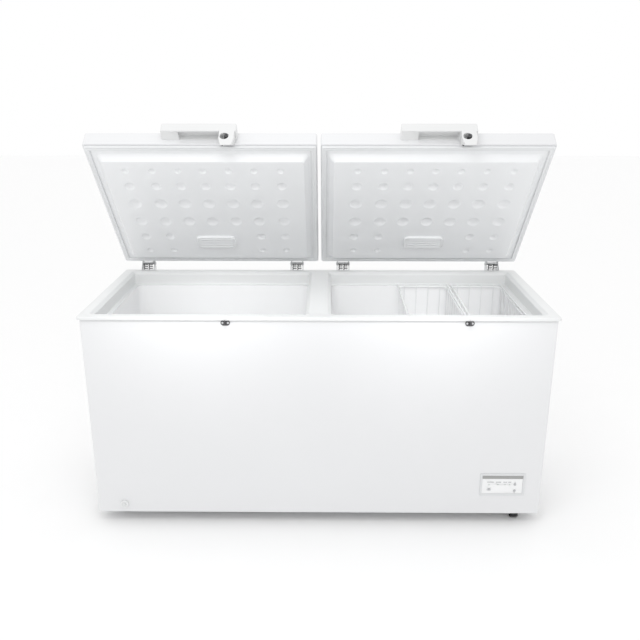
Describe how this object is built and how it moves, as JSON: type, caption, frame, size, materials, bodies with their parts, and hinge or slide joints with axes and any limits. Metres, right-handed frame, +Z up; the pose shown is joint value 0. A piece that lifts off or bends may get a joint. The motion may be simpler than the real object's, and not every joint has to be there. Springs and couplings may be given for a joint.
{
  "type": "chest freezer",
  "caption": "Wide white chest freezer with two counterbalanced lids, a divided interior, wire baskets, front control panel, drain plug, locks and rollers.",
  "frame": {"origin": "middle of the rest-pose bounding box at floor level, with both lids propped open", "axes": "+X to the right as seen from the front, -Y towards the user in front of the freezer, +Z up"},
  "size_m": [1.65, 0.7304, 1.4274],
  "materials": {
    "white_steel": "gloss",
    "back_steel": "satin",
    "galvanised": "satin",
    "foam": "matte",
    "tank_lining": "satin",
    "frame_plastic": "satin",
    "copper": "satin",
    "black_tube": "satin",
    "black_enamel": "satin",
    "black_rubber": "matte",
    "black_plastic": "matte",
    "bezel_plastic": "satin",
    "fascia_plastic": "satin",
    "circuit_board": "satin",
    "lens": "gloss",
    "button_plastic": "satin",
    "white_plastic": "satin",
    "lining_plastic": "satin",
    "gasket_rubber": "matte",
    "lamp_plastic": "satin",
    "bright_steel": "polished",
    "pin_steel": "satin",
    "coated_wire": "satin"
  },
  "bodies": {
    "cabinet": {"front_panel": "white_steel", "left_side_panel": "white_steel", "right_side_panel": "white_steel", "back_panel": "back_steel", "base_plate": "galvanised", "cabinet_foam": "foam", "left_tank": "tank_lining", "right_tank": "tank_lining", "top_frame": "frame_plastic", "evaporator_coil": "copper", "condenser_coil": "black_tube", "compressor": "black_enamel", "compressor_grommets": "black_rubber", "relay_cover": "black_plastic", "refrigerant_pipes": "copper", "filter_drier": "copper", "service_cover": "back_steel", "control_bezel": "bezel_plastic", "control_fascia": "fascia_plastic", "control_board": "circuit_board", "indicator_lenses": "lens", "drain_tube": "frame_plastic", "lock_strikes": "bright_steel", "case_screws": "bright_steel", "hinge_bases": "galvanised", "hinge_pins": "pin_steel", "left_hinge_springs": "pin_steel", "right_hinge_springs": "pin_steel", "castor_brackets": "galvanised", "castor_axles": "bright_steel", "cord_gland": "black_rubber"},
    "left_lid": {"left_lid_skin": "white_steel", "left_lid_foam": "foam", "left_lid_lining": "lining_plastic", "left_gasket": "gasket_rubber", "left_handle": "white_plastic", "left_lamp_cover": "lamp_plastic", "left_hinge_leaves": "galvanised"},
    "right_lid": {"right_lid_skin": "white_steel", "right_lid_foam": "foam", "right_lid_lining": "lining_plastic", "right_gasket": "gasket_rubber", "right_handle": "white_plastic", "right_lamp_cover": "lamp_plastic", "right_hinge_leaves": "galvanised"},
    "left_lock_cylinder": {"left_lock": "bright_steel"},
    "right_lock_cylinder": {"right_lock": "bright_steel"},
    "left_spring_head": {"left_spring_heads": "pin_steel"},
    "right_spring_head": {"right_spring_heads": "pin_steel"},
    "left_wire_basket": {"left_basket": "coated_wire"},
    "right_wire_basket": {"right_basket": "coated_wire"},
    "power_key": {"power_button": "button_plastic"},
    "up_key": {"up_button": "button_plastic"},
    "down_key": {"down_button": "button_plastic"},
    "outer_drain_plug": {"drain_cap": "white_plastic"},
    "inner_drain_plug": {"drain_stopper": "black_rubber"},
    "front_left_roller": {"front_left_wheel": "black_plastic"},
    "front_right_roller": {"front_right_wheel": "black_plastic"},
    "rear_left_roller": {"rear_left_wheel": "black_plastic"},
    "rear_right_roller": {"rear_right_wheel": "black_plastic"}
  },
  "joints": [
    {"name": "left_lid_hinge", "type": "hinge", "parent": "cabinet", "child": "left_lid", "pos_m": [-0.41575, 0.34981, 0.823], "axis": [-1, 0, 0], "range_deg": [-50.6, 39.4], "stiffness_Nm_per_rad": 15.6, "springref_deg": 75.06},
    {"name": "right_lid_hinge", "type": "hinge", "parent": "cabinet", "child": "right_lid", "pos_m": [0.41575, 0.34981, 0.823], "axis": [-1, 0, 0], "range_deg": [-50.6, 39.4], "stiffness_Nm_per_rad": 15.6, "springref_deg": 75.06},
    {"name": "left_spring_slide", "type": "slide", "parent": "cabinet", "child": "left_spring_head", "axis": [0, 0, 1], "range_m": [-0.00765, 0.00595], "deforming": ["left_hinge_springs"]},
    {"name": "right_spring_slide", "type": "slide", "parent": "cabinet", "child": "right_spring_head", "axis": [0, 0, 1], "range_m": [-0.00765, 0.00595], "deforming": ["right_hinge_springs"]},
    {"name": "left_lock_turn", "type": "hinge", "parent": "left_lid", "child": "left_lock_cylinder", "pos_m": [-0.31675, -0.10409, 1.35668], "axis": [0, -0.6347, 0.7727], "range_deg": [0, 60]},
    {"name": "right_lock_turn", "type": "hinge", "parent": "right_lid", "child": "right_lock_cylinder", "pos_m": [0.51475, -0.10409, 1.35668], "axis": [0, -0.6347, 0.7727], "range_deg": [0, 60]},
    {"name": "left_basket_slide", "type": "slide", "parent": "cabinet", "child": "left_wire_basket", "axis": [1, 0, 0], "range_m": [-0.27, 0]},
    {"name": "right_basket_slide", "type": "slide", "parent": "cabinet", "child": "right_wire_basket", "axis": [1, 0, 0], "range_m": [-0.008, 0]},
    {"name": "power_press", "type": "slide", "parent": "cabinet", "child": "power_key", "axis": [0, 1, 0], "range_m": [0, 0.0015], "stiffness_N_per_m": 400},
    {"name": "up_press", "type": "slide", "parent": "cabinet", "child": "up_key", "axis": [0, 1, 0], "range_m": [0, 0.0015], "stiffness_N_per_m": 400},
    {"name": "down_press", "type": "slide", "parent": "cabinet", "child": "down_key", "axis": [0, 1, 0], "range_m": [0, 0.0015], "stiffness_N_per_m": 400},
    {"name": "drain_cap_pull", "type": "slide", "parent": "cabinet", "child": "outer_drain_plug", "axis": [0, -1, 0], "range_m": [0, 0.03]},
    {"name": "drain_stopper_pull", "type": "slide", "parent": "cabinet", "child": "inner_drain_plug", "axis": [0, 0, 1], "range_m": [0, 0.04]},
    {"name": "front_left_roll", "type": "hinge", "parent": "cabinet", "child": "front_left_roller", "pos_m": [-0.7355, -0.25119, 0.0185], "axis": [1, 0, 0], "continuous": true},
    {"name": "front_right_roll", "type": "hinge", "parent": "cabinet", "child": "front_right_roller", "pos_m": [0.7355, -0.29259, 0.0185], "axis": [1, 0, 0], "continuous": true},
    {"name": "rear_left_roll", "type": "hinge", "parent": "cabinet", "child": "rear_left_roller", "pos_m": [-0.7355, 0.24681, 0.0185], "axis": [1, 0, 0], "continuous": true},
    {"name": "rear_right_roll", "type": "hinge", "parent": "cabinet", "child": "rear_right_roller", "pos_m": [0.7355, 0.24681, 0.0185], "axis": [1, 0, 0], "continuous": true}
  ],
  "couplings": [
    {"joint": "left_spring_slide", "follows": "left_lid_hinge", "m_per_rad": 0.008594},
    {"joint": "right_spring_slide", "follows": "right_lid_hinge", "m_per_rad": 0.008594}
  ]
}
